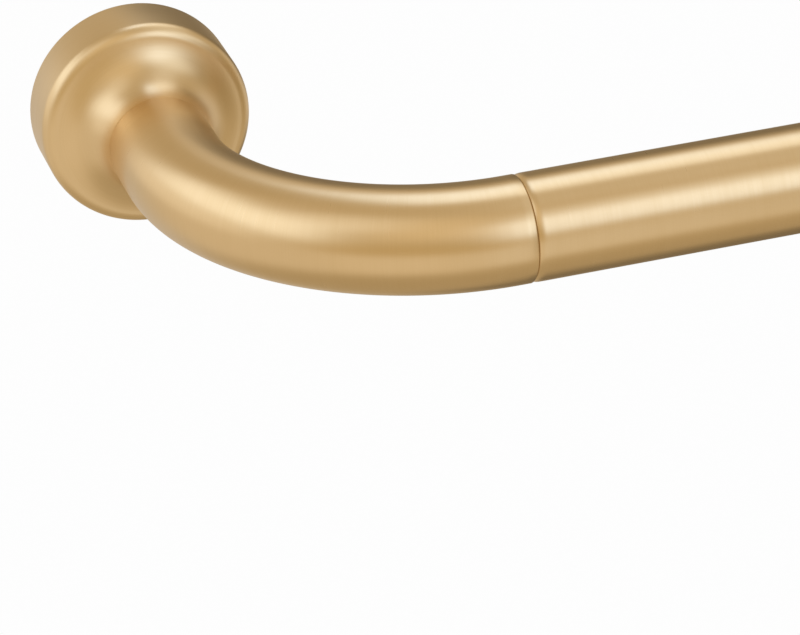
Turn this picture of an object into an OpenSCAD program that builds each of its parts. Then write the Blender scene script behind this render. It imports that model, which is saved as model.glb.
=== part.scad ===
// Wrap-around curtain rod with two wall brackets.
// X runs along the rod, the wall is the plane Y = 0, the room is on the -Y side, and +Z is up.
// The origin is on the wall, midway between the left bracket's two screws.

/* [Rod] */
// Distance between the two flange centres with the rod closed up
span = 659; // [560:1:900]
// Outside diameter of the outer tube and of both elbows
rod_d = 25.4; // [24:0.1:28]
// Wall thickness of the outer tube and the elbows
rod_wall = 1; // [0.8:0.1:1.5]
// Outside diameter of the inner, telescoping tube
inner_d = 22.2; // [21:0.1:22.4]
// Wall thickness of the inner tube
inner_wall = 0.9; // [0.7:0.1:1.2]
// Length of inner tube that shows when the rod is closed up
inner_shown = 20; // [10:1:60]

/* [Return elbow] */
// Distance from the wall to the centre line of the rod
reach = 106; // [100:1:130]
// Radius of the bend, measured to the centre line of the tube
bend_r = 63.5; // [55:0.5:68]
// Distance from the flange centre to the screwed joint, along the rod
joint_x = 66; // [66:0.5:80]

/* [Flange] */
// Diameter of the flange cup
flange_d = 52; // [52:0.5:60]
// Depth of the cup's plain cylindrical band
band_depth = 13.5; // [13.5:0.1:16]
// Rounding between the band and the cup's face
shoulder_r = 3.3; // [2.8:0.1:3.5]
// Thickness of the cup's band
cup_wall = 1.8; // [1.6:0.1:2]
// Radius of the fillet that sweeps from the cup's face up to the tube
hub_fillet = 12; // [9:0.5:12]

/* [Wall bracket] */
// Width of the bracket at the wall
bracket_back_w = 24; // [22:0.5:25]
// Width of the bracket at its front, which is wider, so that the flange can't pull off the wall
bracket_front_w = 27; // [26:0.5:28]
// Height of the bracket's top edge above the flange centre
bracket_top = 16; // [14:0.5:16]
// Thickness of the bracket's back plate and side walls
bracket_wall = 2.8; // [2.4:0.1:3.2]
// Distance between the bracket's two screws
screw_pitch = 15; // [13:0.5:16]

/* [Screwed joint] */
// Diameter of the threaded stud
stud_d = 8; // [6:0.5:8]
// Length of stud that stands out of the elbow
stud_shown = 14.3; // [12:0.1:15]
// Thickness of the washer in the joint
washer_t = 0.4; // [0.3:0.1:0.6]

/* [Hidden] */
$fn = 96;

cut = 1;                              // how far a cutter runs past the face that it opens
rod_r = rod_d / 2;
bore_r = rod_r - rod_wall;            // inside radius of the outer tube and elbows
inner_r = inner_d / 2;
inner_bore_r = inner_r - inner_wall;
running = 0.05;                       // radial clearance of a running or sliding fit

// Flange cup, as radius from its axis and depth from the wall
flange_r = flange_d / 2;
cavity_r = flange_r - cup_wall;
cup_lift = 0.4;                       // gap between the cup's rim and the wall
face_depth = band_depth + shoulder_r; // depth of the cup's face, where the rounding ends
cavity_depth = face_depth - 3;        // depth of the flat bottom of the cup
hub_edge_r = rod_r + 0.1;             // the fillet ends on the tube in a thin edge
// the rounding's and the fillet's centres lie both radii apart, so the two arcs touch
fillet_out = hub_edge_r + hub_fillet - (flange_r - shoulder_r);
hub_depth = band_depth + sqrt(pow(hub_fillet + shoulder_r, 2) - pow(fillet_out, 2));
cove_angle = acos(fillet_out / (hub_fillet + shoulder_r));
tube_seat = face_depth - 0.2;         // depth of the shoulder that the elbow tube stands on

// Wall bracket and the slot it leaves in the cup
bracket_depth = cavity_depth - 0.5;
bracket_gap = 0.3;                    // clearance between bracket and cup
lip_t = 3.8;                          // thickness of the rim segment that closes the cup's slot
rib_t = 2.2;                          // thickness of the cup's guide ribs
screw_r = 2.1;
screw_neck_r = 1.8;
screw_hole_r = 2.3;
screw_head_r = 4.4;
screw_head_h = 3;
screw_length = 28;                    // length of screw behind the wall plane, tip included
screw_tip = 5;

// Screwed joint
stud_r = stud_d / 2;
thread_r = stud_r + running;
stud_in_plug = 13.5;                  // length of stud that is held in the elbow's plug
plug_recess = washer_t + 0.1;         // the washer lies in this recess in the elbow's end
plug_disc = joint_x - bend_r - plug_recess; // thickness of the disc in the elbow's straight end
boss_r = 7;
boss_length = 13;
joint_gap = 0.1;                      // gap between elbow and rod, which shows as a fine line
rod_x0 = joint_x + joint_gap;         // left end of the outer tube
edge_long = 2;                        // the tube's rolled-in end is an oval curve, this long
edge_deep = 0.6;                      // and this deep
rolled_r = 9.5;                       // radius of the opening in the rolled-in end
insert_r = 6.5;
insert_length = 16;
end_plug_length = 18;

// Telescoping part
collar_length = 5;
collar_x1 = span - rod_x0;            // right end of the inner rod
collar_x0 = collar_x1 - collar_length;
bush_lip = 1.5;
mouth_x = collar_x0 - inner_shown - bush_lip;
bush_length = 14;
guide_x = rod_x0 + rod_wall + end_plug_length + 6;
guide_lip = 2;
guide_spigot = 12;

brass = "#C9A468";
steel = "#B9BBBD";
nylon = "#E6DFCF";
dark_nylon = "#4A3F33";

// Points on an arc about [cx, cy], from angle a0 to a1
function arc(cx, cy, r, a0, a1, n) = [
    for (i = [0:n]) let (a = a0 + (a1 - a0) * i / n) [cx + r * cos(a), cy + r * sin(a)]
];

// Points on an oval about [cx, cy], edge_deep across and edge_long along, from angle a0 to a1
function rolled_edge(cx, cy, a0, a1) = [
    for (p = arc(0, 0, 1, a0, a1, 10)) [cx + edge_deep * p[0], cy + edge_long * p[1]]
];

// Turns a profile of [radius, depth] points about the flange axis, which points into the room
module turned_on_flange() rotate([90, 0, 0]) rotate_extrude() children();

// Turns a profile of [radius, length] points about an axis along +X, at the rod's centre line
module turned_on_rod(x) translate([x, -reach, 0]) rotate([0, 90, 0]) rotate_extrude() children();

// A solid cylinder, or a tube if it has a bore, along +X on the rod's centre line
module rod_cylinder(x, length, r, bore = 0) {
    translate([x, -reach, 0]) rotate([0, 90, 0]) difference() {
        cylinder(h = length, r = r);
        if (bore > 0) translate([0, 0, -cut]) cylinder(h = length + 2 * cut, r = bore);
    }
}

// Puts a piece made for the left end at the right end
module at_right() translate([span, 0, 0]) mirror([1, 0, 0]) children();

// Plan of the bracket's dovetail, widened all round by grow; Y is the distance from the wall
module dovetail(depth, grow = 0) {
    slope = (bracket_front_w - bracket_back_w) / 2 / bracket_depth;
    w0 = bracket_back_w / 2 + grow;
    polygon([
        [-w0, 0], [w0, 0], [w0 + slope * depth, -depth], [-w0 - slope * depth, -depth]
    ]);
}

// Half width of the channel between the bracket's side walls
function channel_half() = bracket_back_w / 2 - bracket_wall + 1;

module wall_bracket() {
    color(brass) difference() {
        intersection() {
            translate([0, 0, -flange_r]) linear_extrude(flange_r + bracket_top)
                dovetail(bracket_depth);
            rotate([90, 0, 0]) cylinder(h = bracket_depth, r = flange_r);
        }
        // channel, open at the top and the front, with a curved lip at the bottom
        intersection() {
            translate([-channel_half(), -bracket_depth - cut, -flange_r])
                cube([2 * channel_half(), bracket_depth + cut - bracket_wall, 2 * flange_r]);
            union() {
                rotate([90, 0, 0]) cylinder(h = bracket_depth + cut, r = flange_r - lip_t);
                translate([-channel_half(), -bracket_depth - cut, 0])
                    cube([2 * channel_half(), bracket_depth + cut, flange_r]);
            }
        }
        for (z = [-screw_pitch / 2, screw_pitch / 2])
            translate([0, cut, z]) rotate([90, 0, 0]) cylinder(h = bracket_wall + 2 * cut, r = screw_hole_r);
    }
}

module bracket_screw() {
    // plain neck in the bracket, then the threaded shank and its point in the wall
    rotate([-90, 0, 0]) {
        translate([0, 0, -bracket_wall]) cylinder(h = bracket_wall, r = screw_neck_r);
        cylinder(h = screw_length - screw_tip, r = screw_r);
        translate([0, 0, screw_length - screw_tip]) cylinder(h = screw_tip, r1 = screw_r, r2 = 0.2);
    }
    // pan head with a cross recess
    translate([0, -bracket_wall, 0]) rotate([90, 0, 0]) difference() {
        rotate_extrude() polygon(concat(
            [[0, 0], [screw_head_r, 0]],
            arc(screw_head_r - 1.8, screw_head_h - 1.8, 1.8, 0, 90, 6),
            [[0, screw_head_h]]
        ));
        for (a = [0, 90]) rotate([0, 0, a])
            translate([-2.4, -0.5, screw_head_h - 1.6]) cube([4.8, 1, 1.6 + cut]);
    }
}

module bracket_screws() {
    color(brass) for (z = [-screw_pitch / 2, screw_pitch / 2]) translate([0, 0, z]) bracket_screw();
}

module flange_cup_profile() {
    polygon(concat(
        // hub fillet, from the tube's thin edge out to the shoulder
        arc(hub_edge_r + hub_fillet, hub_depth, hub_fillet, 180, 180 + cove_angle, 24),
        // shoulder, out to the band
        arc(flange_r - shoulder_r, band_depth, shoulder_r, cove_angle - 8, 0, 10),
        // band, rim and cavity
        [[flange_r, cup_lift], [cavity_r, cup_lift]],
        [[cavity_r, cavity_depth], [bore_r - 0.7, cavity_depth]],
        // step and socket for the elbow tube
        [[bore_r - 0.7, tube_seat], [rod_r, tube_seat], [rod_r, hub_depth]]
    ));
}

module flange_cup() {
    color(brass) difference() {
        union() {
            turned_on_flange() flange_cup_profile();
            // guide ribs and the stop that hangs on the bracket's top edge
            difference() {
                intersection() {
                    rotate([90, 0, 0]) translate([0, 0, cup_lift])
                        cylinder(h = cavity_depth + 0.4 - cup_lift, r = cavity_r + 0.4);
                    translate([0, 0, -flange_r]) linear_extrude(flange_r + bracket_top + bracket_gap + rib_t)
                        dovetail(cavity_depth + cut, bracket_gap + rib_t);
                }
                translate([0, 0, -flange_r - cut]) linear_extrude(flange_r + cut + bracket_top + bracket_gap)
                    translate([0, cut]) dovetail(cavity_depth + cut, bracket_gap);
                rotate([90, 0, 0]) cylinder(h = 2 * band_depth, r = bore_r - 0.7);
            }
        }
        // slot that the bracket's rim segment closes
        intersection() {
            translate([0, 0, -flange_r - cut]) linear_extrude(flange_r + cut)
                dovetail(cavity_depth, bracket_gap);
            rotate([90, 0, 0]) cylinder(h = cavity_depth, r = flange_r + cut);
        }
    }
}

module elbow_tube() {
    straight = reach - bend_r;        // distance from the wall to the start of the bend
    color(brass) {
        // leg that stands in the flange
        rotate([90, 0, 0]) translate([0, 0, tube_seat]) difference() {
            cylinder(h = straight - tube_seat, r = rod_r);
            translate([0, 0, -cut]) cylinder(h = straight - tube_seat + 2 * cut, r = bore_r);
        }
        // quarter bend
        translate([bend_r, -straight, 0]) rotate([0, 0, 180]) rotate_extrude(angle = 90)
            translate([bend_r, 0]) difference() {
                circle(r = rod_r);
                circle(r = bore_r);
            }
        // short leg along the rod
        rod_cylinder(bend_r, joint_x - bend_r, rod_r, bore_r);
    }
}

module elbow_plug() {
    color(steel) difference() {
        union() {
            rod_cylinder(joint_x - plug_recess - plug_disc, plug_disc, bore_r);
            rod_cylinder(joint_x - plug_recess - plug_disc - boss_length, boss_length + 0.1, boss_r);
        }
        rod_cylinder(joint_x - stud_in_plug, stud_in_plug + cut, stud_r);
    }
}

module threaded_stud() {
    chamfer = 0.8;
    color(steel) turned_on_rod(joint_x - stud_in_plug) polygon([
        [0, 0], [stud_r, 0], [stud_r, stud_in_plug + stud_shown - chamfer],
        [stud_r - chamfer, stud_in_plug + stud_shown], [0, stud_in_plug + stud_shown]
    ]);
}

module joint_washer() {
    color(dark_nylon) rod_cylinder(joint_x - plug_recess + 0.05, washer_t, bore_r - 0.5, stud_r + 0.2);
}

module outer_tube() {
    length = mouth_x - rod_x0;
    color(brass) turned_on_rod(rod_x0) polygon(concat(
        [[rolled_r, 0]],
        rolled_edge(rod_r - edge_deep, edge_long, -90, 0),
        [[rod_r, length], [bore_r, length], [bore_r, rod_wall], [rolled_r, rod_wall]]
    ));
}

module outer_end_plug() {
    color(nylon) difference() {
        rod_cylinder(rod_x0 + rod_wall, end_plug_length, bore_r, insert_r);
        // four flutes that let the plug be pressed in
        for (a = [45:90:315]) translate([rod_x0 + rod_wall + 4, -reach, 0]) rotate([a, 0, 0])
            translate([0, -1, bore_r - 2]) cube([end_plug_length, 2, 3]);
    }
}

module outer_thread_insert() {
    color(steel) rod_cylinder(rod_x0 + 0.6, insert_length, insert_r, thread_r);
}

module outer_mouth_bush() {
    color(nylon) turned_on_rod(mouth_x - bush_length) polygon(concat(
        [[inner_r + running, 0], [bore_r - running, 0]],
        [[bore_r - running, bush_length + 0.1], [rod_r - 0.3, bush_length + 0.1]],
        arc(rod_r - 0.9, bush_length + bush_lip - 0.6, 0.6, 0, 90, 5),
        [[inner_r + running, bush_length + bush_lip]]
    ));
}

module inner_tube() {
    color(brass) rod_cylinder(guide_x + guide_lip, collar_x0 - guide_x - guide_lip, inner_r, inner_bore_r);
}

module inner_guide_plug() {
    color(nylon) turned_on_rod(guide_x) polygon([
        [inner_bore_r - 2, 0], [bore_r - running - 0.6, 0], [bore_r - running, 0.6],
        [bore_r - running, guide_lip], [inner_bore_r, guide_lip],
        [inner_bore_r, guide_lip + guide_spigot], [inner_bore_r - 2, guide_lip + guide_spigot]
    ]);
}

module inner_end_collar() {
    spigot = 15;
    color(brass) turned_on_rod(collar_x0 - spigot) polygon(concat(
        [[insert_r, 0], [inner_bore_r, 0], [inner_bore_r, spigot], [rod_r, spigot]],
        rolled_edge(rod_r - edge_deep, spigot + collar_length - edge_long, 0, 90),
        [[insert_r, spigot + collar_length]]
    ));
}

module inner_thread_insert() {
    color(steel) rod_cylinder(collar_x1 - 0.6 - insert_length, insert_length, insert_r, thread_r);
}

wall_bracket();  // left_wall_bracket
bracket_screws();  // left_bracket_screws
flange_cup();  // left_flange_cup
elbow_tube();  // left_elbow_tube
elbow_plug();  // left_elbow_plug
threaded_stud();  // left_threaded_stud
joint_washer();  // left_joint_washer
outer_tube();
outer_end_plug();
outer_thread_insert();
outer_mouth_bush();
inner_tube();
inner_guide_plug();
inner_end_collar();
inner_thread_insert();
at_right() joint_washer();  // right_joint_washer
at_right() threaded_stud();  // right_threaded_stud
at_right() elbow_plug();  // right_elbow_plug
at_right() elbow_tube();  // right_elbow_tube
at_right() flange_cup();  // right_flange_cup
at_right() bracket_screws();  // right_bracket_screws
at_right() wall_bracket();  // right_wall_bracket
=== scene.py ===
# %% [markdown]
# # A wrap-around curtain rod
# The real object is one brushed gold tube that bends back to the wall at both ends. Each end stands
# in a round cup that drops over a bracket hidden inside it. The CAD model is loaded as a frame that
# says where every piece is and how it moves, and this script builds the looks around it.

import math

import bmesh
import bpy
import numpy as np
from mathutils import Matrix


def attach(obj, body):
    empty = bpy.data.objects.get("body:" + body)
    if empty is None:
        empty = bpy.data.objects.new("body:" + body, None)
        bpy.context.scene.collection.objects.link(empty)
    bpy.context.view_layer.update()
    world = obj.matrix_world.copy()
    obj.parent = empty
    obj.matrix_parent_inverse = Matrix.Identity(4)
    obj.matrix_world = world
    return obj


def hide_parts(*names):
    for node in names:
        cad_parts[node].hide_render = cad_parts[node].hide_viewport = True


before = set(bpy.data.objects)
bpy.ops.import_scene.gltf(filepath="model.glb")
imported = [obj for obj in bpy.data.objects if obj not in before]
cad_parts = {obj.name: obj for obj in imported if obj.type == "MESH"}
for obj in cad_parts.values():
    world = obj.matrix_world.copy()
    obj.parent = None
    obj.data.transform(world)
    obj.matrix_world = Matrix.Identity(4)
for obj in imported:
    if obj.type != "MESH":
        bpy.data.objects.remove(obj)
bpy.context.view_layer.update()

# %% [markdown]
# ## Sizes
# Every size here is the real one in millimetres, and is turned into metres only where a mesh is
# made. Most pieces are turned on a lathe or drawn as tube, so they need a radius, a length and
# a place along the rod, and little else.

# %% Sizes in millimetres
SPAN = 659.0           # between the two flange centres
REACH = 106.0          # from the wall to the rod's centre line
BEND_R = 63.5          # bend radius of the elbow, at the tube's centre line
TUBE_R = 12.7          # outside radius of the outer tube and the elbows
TUBE_WALL = 1.0
BORE_R = TUBE_R - TUBE_WALL
INNER_R = 11.1         # outside radius of the inner tube
INNER_BORE_R = 10.2
JOINT_X = 66.0         # end of the left elbow
ROD_X0 = JOINT_X + 0.1  # left end of the straight rod
ROD_X1 = SPAN - ROD_X0  # right end of the straight rod
COLLAR_X = ROD_X1 - 5.0
MOUTH_X = COLLAR_X - 21.5  # open end of the outer tube
FLANGE_R = 26.0
BAND_DEPTH = 13.5      # depth of the cup's plain band
SHOULDER_R = 3.3       # rounding between the band and the cup's face
SCREW_PITCH = 15.0
BRACKET_WALL = 2.8
STUD_R = 4.0
INSERT_R = 6.5         # outside radius of the threaded inserts
UV_LENGTH = 80.0       # length of surface that one unit of U covers


def mm(value):
    """Millimetres to metres."""
    return value / 1000


def arc(cx, cy, r, a0, a1, n):
    """Points on an arc about (cx, cy), from angle a0 to a1 in degrees."""
    angles = [math.radians(a0 + (a1 - a0) * i / n) for i in range(n + 1)]
    return [(cx + r * math.cos(a), cy + r * math.sin(a)) for a in angles]


# %% [markdown]
# ## Materials
# The rod is steel tube, plated a pale gold, then brushed on a lathe while it turned. The brush leaves
# fine lines that run round the tube, and such lines smear a reflection along the tube but hardly
# across it. In Blender that is anisotropy. Its direction comes from a UV map that has U along the
# tube, and the lines themselves come from a noise that is stretched round the tube. The noise reads
# an attribute called "grain", which every turned or drawn piece carries: it is the place
# that a point had on the straight tube, before the tube was bent.

# %% Colours and one function that adds a node
def linear(hex_colour):
    """An sRGB hex colour as linear RGBA."""
    values = [int(hex_colour[i:i + 2], 16) / 255 for i in (1, 3, 5)]
    return tuple(v / 12.92 if v <= 0.04045 else ((v + 0.055) / 1.055) ** 2.4 for v in values) + (1.0,)


def add_node(tree, kind, inputs=None, **settings):
    """Adds a node. inputs is {socket name or number: value or output socket to link}."""
    node = tree.nodes.new(kind)
    for name, value in settings.items():
        setattr(node, name, value)
    for key, value in (inputs or {}).items():
        socket = node.inputs[key]
        if isinstance(value, bpy.types.NodeSocket):
            tree.links.new(value, socket)
        else:
            socket.default_value = value
    return node


def new_material(name):
    """An empty node material and its Principled shader, already linked to the output."""
    material = bpy.data.materials.new(name)
    material.use_nodes = True
    tree = material.node_tree
    tree.nodes.clear()
    shader = add_node(tree, "ShaderNodeBsdfPrincipled")
    add_node(tree, "ShaderNodeOutputMaterial", {"Surface": shader.outputs["BSDF"]})
    return material, tree, shader


# %% Gold-plated steel, brushed or satin
# A Mix node has sockets for numbers and for colours; these are the places of the ones used here
NUMBER_A, NUMBER_B, COLOUR_A, COLOUR_B, MIXED_COLOUR = 2, 3, 6, 7, 2


def gold_material(name, pale, deep, line_mm, line_round_mm, line_depth_mm, roughness, anisotropy):
    """Gold plate with brushed lines line_mm apart that run line_round_mm round the piece."""
    material, tree, shader = new_material(name)
    grain = add_node(tree, "ShaderNodeAttribute", attribute_name="grain").outputs["Vector"]
    # one line to every line_mm along the piece, drawn out round it
    stretch = (1000 / line_mm, 1000 / line_round_mm, 1000 / line_round_mm)
    along = add_node(tree, "ShaderNodeMapping", {"Vector": grain, "Scale": stretch})
    lines = add_node(tree, "ShaderNodeTexNoise",
                     {"Vector": along.outputs["Vector"], "Scale": 1.0, "Detail": 3.0, "Roughness": 0.6})
    # broader, fainter bands where the brush lingered, about ten lines wide
    lingered = add_node(tree, "ShaderNodeMapping",
                        {"Vector": grain, "Scale": tuple(s / 10 for s in stretch)})
    bands = add_node(tree, "ShaderNodeTexNoise",
                     {"Vector": lingered.outputs["Vector"], "Scale": 1.0, "Detail": 2.0})
    # plating is never quite even: clouds about 15 mm across
    clouds = add_node(tree, "ShaderNodeTexNoise", {"Vector": grain, "Scale": 1000 / 15, "Detail": 2.0})
    brushed = add_node(tree, "ShaderNodeMix", {"Factor": 0.35, NUMBER_A: lines.outputs["Fac"],
                                               NUMBER_B: bands.outputs["Fac"]}).outputs[0]
    tint = add_node(tree, "ShaderNodeMix", {"Factor": 0.3, NUMBER_A: brushed,
                                            NUMBER_B: clouds.outputs["Fac"]}).outputs[0]
    spread = add_node(tree, "ShaderNodeMapRange", {"Value": tint, "From Min": 0.3, "From Max": 0.7})
    colour = add_node(tree, "ShaderNodeMix", {"Factor": spread.outputs["Result"], COLOUR_A: linear(deep),
                                              COLOUR_B: linear(pale)}, data_type="RGBA")
    rough = add_node(tree, "ShaderNodeMapRange", {"Value": brushed, "From Min": 0.3, "From Max": 0.7,
                                                  "To Min": roughness + 0.02, "To Max": roughness - 0.02})
    bump = add_node(tree, "ShaderNodeBump", {"Height": brushed, "Strength": 1.0,
                                             "Distance": mm(line_depth_mm)})
    tangent = add_node(tree, "ShaderNodeTangent", direction_type="UV_MAP", uv_map="UVMap")
    for socket, value in (("Base Color", colour.outputs[MIXED_COLOUR]),
                          ("Roughness", rough.outputs["Result"]),
                          ("Normal", bump.outputs["Normal"]), ("Tangent", tangent.outputs["Tangent"])):
        tree.links.new(value, shader.inputs[socket])
    shader.inputs["Metallic"].default_value = 1.0
    shader.inputs["Anisotropic"].default_value = anisotropy
    return material


TUBE_GOLD = gold_material("gold_plated_steel_brushed_round_the_tube", "#E9CEA1", "#E4C898",
                          0.3, 14.0, 0.0003, 0.29, 0.5)
FLANGE_GOLD = gold_material("gold_plated_zinc_turned_satin", "#EAD0A4", "#E5CA9B",
                            0.35, 20.0, 0.0002, 0.33, 0.4)
print("brushed golds:", TUBE_GOLD.name, FLANGE_GOLD.name)

# %% [markdown]
# The other finishes are simpler. The bracket and the inside of the cup are as cast, so their plating
# lies over a slightly pebbled skin. Studs and inserts are steel with bright zinc, which has a faint
# blue and yellow bloom. Washers, plugs and bushes are moulded nylon, which never shines much.


# %% Cast gold plate, zinc plate and nylon
def cloudy_material(name, pale, deep, metallic, roughness, cloud_mm, skin_mm, skin_depth_mm):
    """A colour that drifts over cloud_mm, on a skin whose pebbles are skin_mm across."""
    material, tree, shader = new_material(name)
    place = add_node(tree, "ShaderNodeTexCoord").outputs["Object"]
    clouds = add_node(tree, "ShaderNodeTexNoise", {"Vector": place, "Scale": 1000 / cloud_mm, "Detail": 3.0})
    skin = add_node(tree, "ShaderNodeTexNoise", {"Vector": place, "Scale": 1000 / skin_mm, "Detail": 2.0})
    spread = add_node(tree, "ShaderNodeMapRange",
                      {"Value": clouds.outputs["Fac"], "From Min": 0.3, "From Max": 0.7})
    colour = add_node(tree, "ShaderNodeMix", {"Factor": spread.outputs["Result"], COLOUR_A: linear(deep),
                                              COLOUR_B: linear(pale)}, data_type="RGBA")
    rough = add_node(tree, "ShaderNodeMapRange",
                     {"Value": skin.outputs["Fac"], "From Min": 0.3, "From Max": 0.7,
                      "To Min": roughness - 0.05, "To Max": roughness + 0.05})
    bump = add_node(tree, "ShaderNodeBump", {"Height": skin.outputs["Fac"], "Strength": 1.0,
                                             "Distance": mm(skin_depth_mm)})
    for socket, value in (("Base Color", colour.outputs[MIXED_COLOUR]),
                          ("Roughness", rough.outputs["Result"]), ("Normal", bump.outputs["Normal"])):
        tree.links.new(value, shader.inputs[socket])
    shader.inputs["Metallic"].default_value = metallic
    return material


CAST_GOLD = cloudy_material("gold_plated_zinc_as_cast", "#E6C88E", "#D6B274", 1.0, 0.34, 9, 0.5, 0.006)
SCREW_GOLD = cloudy_material("gold_plated_steel_rolled_screw", "#EBD09A", "#D9B878", 1.0, 0.26, 4, 0.4, 0.002)
ZINC = cloudy_material("steel_bright_zinc_plated", "#D3D6DA", "#C3C2B8", 1.0, 0.28, 6, 0.4, 0.002)
WHITE_NYLON = cloudy_material("nylon_natural_moulded", "#EFE9DC", "#E7DFCD", 0.0, 0.48, 8, 0.6, 0.004)
DARK_NYLON = cloudy_material("nylon_dark_moulded", "#3B2F24", "#2E241B", 0.0, 0.5, 5, 0.5, 0.004)
print("plain finishes:", CAST_GOLD.name, SCREW_GOLD.name, ZINC.name, WHITE_NYLON.name, DARK_NYLON.name)

# %% [markdown]
# ## Turned pieces
# Most pieces of this rod are round about one axis: the tubes, the cup, the plugs and the washers.
# Each could be a cylinder with modifiers on it, or a Screw modifier on an edge. Here a short
# function sweeps a closed outline round the axis instead, because it can store the grain
# attribute and the UV map while it goes.

# %% Turn a closed outline round an axis
def face_outwards(obj):
    """Merges doubles, drops edges that bear no face and turns every face outwards."""
    work = bmesh.new()
    work.from_mesh(obj.data)
    bmesh.ops.remove_doubles(work, verts=work.verts, dist=1e-7)
    bmesh.ops.dissolve_degenerate(work, edges=work.edges, dist=1e-7)
    bmesh.ops.delete(work, geom=[edge for edge in work.edges if not edge.link_faces], context="EDGES")
    bmesh.ops.recalc_face_normals(work, faces=work.faces)
    work.to_mesh(obj.data)
    work.free()


def finish_mesh(obj, sharp_degrees=34):
    """Faces outwards, and smooth but for the sharp edges."""
    face_outwards(obj)
    obj.data.shade_smooth()
    obj.data.set_sharp_from_angle(angle=math.radians(sharp_degrees))
    return obj


def paint(obj, material):
    """Gives an object this one material."""
    obj.data.materials.clear()
    obj.data.materials.append(material)


def new_object(name, mesh, material):
    """Puts a mesh in the scene as a piece with one material."""
    obj = bpy.data.objects.new(name, mesh)
    bpy.context.scene.collection.objects.link(obj)
    paint(obj, material)
    return obj


def mesh_box(obj):
    """Lowest and highest corner of a mesh, as six numbers."""
    points = np.array([v.co for v in obj.data.vertices])
    return [*points.min(0), *points.max(0)]


ALONG_ROD = ((1, 0, 0), (0, 1, 0), (0, 0, 1))      # axis, then the two directions across it
INTO_ROOM = ((0, -1, 0), (1, 0, 0), (0, 0, 1))
ON_ROD = (0, -REACH, 0)


def turned(name, outline, material, axes=ALONG_ROD, origin=ON_ROD, segments=128):
    """A solid of revolution. outline is a closed ring of (radius, distance along the axis) in mm."""
    axis, across, up = (np.array(v, float) for v in axes)
    count = len(outline)
    travelled = [0.0]
    for (r0, d0), (r1, d1) in zip(outline, outline[1:] + outline[:1]):
        travelled.append(travelled[-1] + math.hypot(r1 - r0, d1 - d0))
    points, grain = [], []
    for i in range(segments):
        turn = 2 * math.pi * i / segments
        out = math.cos(turn) * across + math.sin(turn) * up
        for (r, d), s in zip(outline, travelled):
            points.append(mm(1) * (np.array(origin) + d * axis + r * out))
            grain.append((mm(s), mm(r) * math.cos(turn), mm(r) * math.sin(turn)))
    faces, uvs = [], []
    for i in range(segments):
        for j in range(count):
            k = (j + 1) % count
            here, there = i * count, (i + 1) % segments * count
            faces.append((here + j, there + j, there + k, here + k))
            u0, u1 = travelled[j] / UV_LENGTH, travelled[j + 1] / UV_LENGTH
            v0, v1 = i / segments, (i + 1) / segments
            uvs += [(u0, v0), (u0, v1), (u1, v1), (u1, v0)]
    mesh = bpy.data.meshes.new(name)
    mesh.from_pydata(points, [], faces)
    mesh.uv_layers.new(name="UVMap").data.foreach_set("uv", np.array(uvs).ravel())
    mesh.attributes.new("grain", "FLOAT_VECTOR", "POINT").data.foreach_set("vector", np.array(grain).ravel())
    return finish_mesh(new_object(name, mesh, material))


def at_right(obj, name, matrix):
    """A copy of a left-hand piece at the right-hand end."""
    mesh = obj.data.copy()
    mesh.transform(matrix)
    if matrix.determinant() < 0:
        mesh.flip_normals()
    copy = bpy.data.objects.new(name, mesh)
    bpy.context.scene.collection.objects.link(copy)
    return copy


MIRROR = Matrix.Translation((mm(SPAN), 0, 0)) @ Matrix.Scale(-1, 4, (1, 0, 0))
# A thread must not be mirrored, or it would turn the wrong way, so it is swung half round instead
HALF_TURN = Matrix.Translation((mm(SPAN), mm(-2 * REACH), 0)) @ Matrix.Rotation(math.pi, 4, "Z")

# %% [markdown]
# ## The straight rod
# The outer tube's left end is rolled in to a soft round edge, which catches the light next to the
# joint. Its other end is open, with a nylon bush that keeps the thinner inner tube from rattling.

# %% Outer and inner tube, and what closes their ends
ROLLED_R = 9.5                   # inside radius of the rolled-in end
EDGE_LONG, EDGE_DEEP = 2.0, 0.6  # length and depth of the oval curve at a rolled-in end
BUSH_LENGTH = 14.0
INNER_X0 = 99.5                  # hidden end of the inner tube
COLLAR_PLUG = 15.0               # length of the collar inside the inner tube


def rolled_edge(d, a0, a1):
    """The oval curve of a rolled-in tube end, whose centre lies at distance d."""
    return [(TUBE_R - EDGE_DEEP + EDGE_DEEP * c, d + EDGE_LONG * s) for c, s in arc(0, 0, 1, a0, a1, 14)]


outer_tube = turned("outer_rod_tube", [(ROLLED_R, ROD_X0)] + rolled_edge(ROD_X0 + EDGE_LONG, 270, 360)
                    + arc(TUBE_R - 0.3, MOUTH_X - 0.3, 0.3, 0, 90, 4)
                    + [(BORE_R, MOUTH_X), (BORE_R, ROD_X0 + 1.0), (ROLLED_R, ROD_X0 + 1.0)], TUBE_GOLD)
mouth_bush = turned("outer_rod_mouth_bush",
                    [(INNER_R + 0.05, MOUTH_X - BUSH_LENGTH), (BORE_R - 0.05, MOUTH_X - BUSH_LENGTH),
                     (BORE_R - 0.05, MOUTH_X + 0.1), (TUBE_R - 0.3, MOUTH_X + 0.1)]
                    + arc(TUBE_R - 0.9, MOUTH_X + 0.9, 0.6, 0, 90, 6)
                    + arc(INNER_R + 0.35, MOUTH_X + 1.2, 0.3, 90, 180, 4), WHITE_NYLON)
inner_tube = turned("inner_rod_tube",
                    [(INNER_BORE_R, INNER_X0), (INNER_R, INNER_X0), (INNER_R, COLLAR_X),
                     (INNER_BORE_R, COLLAR_X)], TUBE_GOLD)
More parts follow.
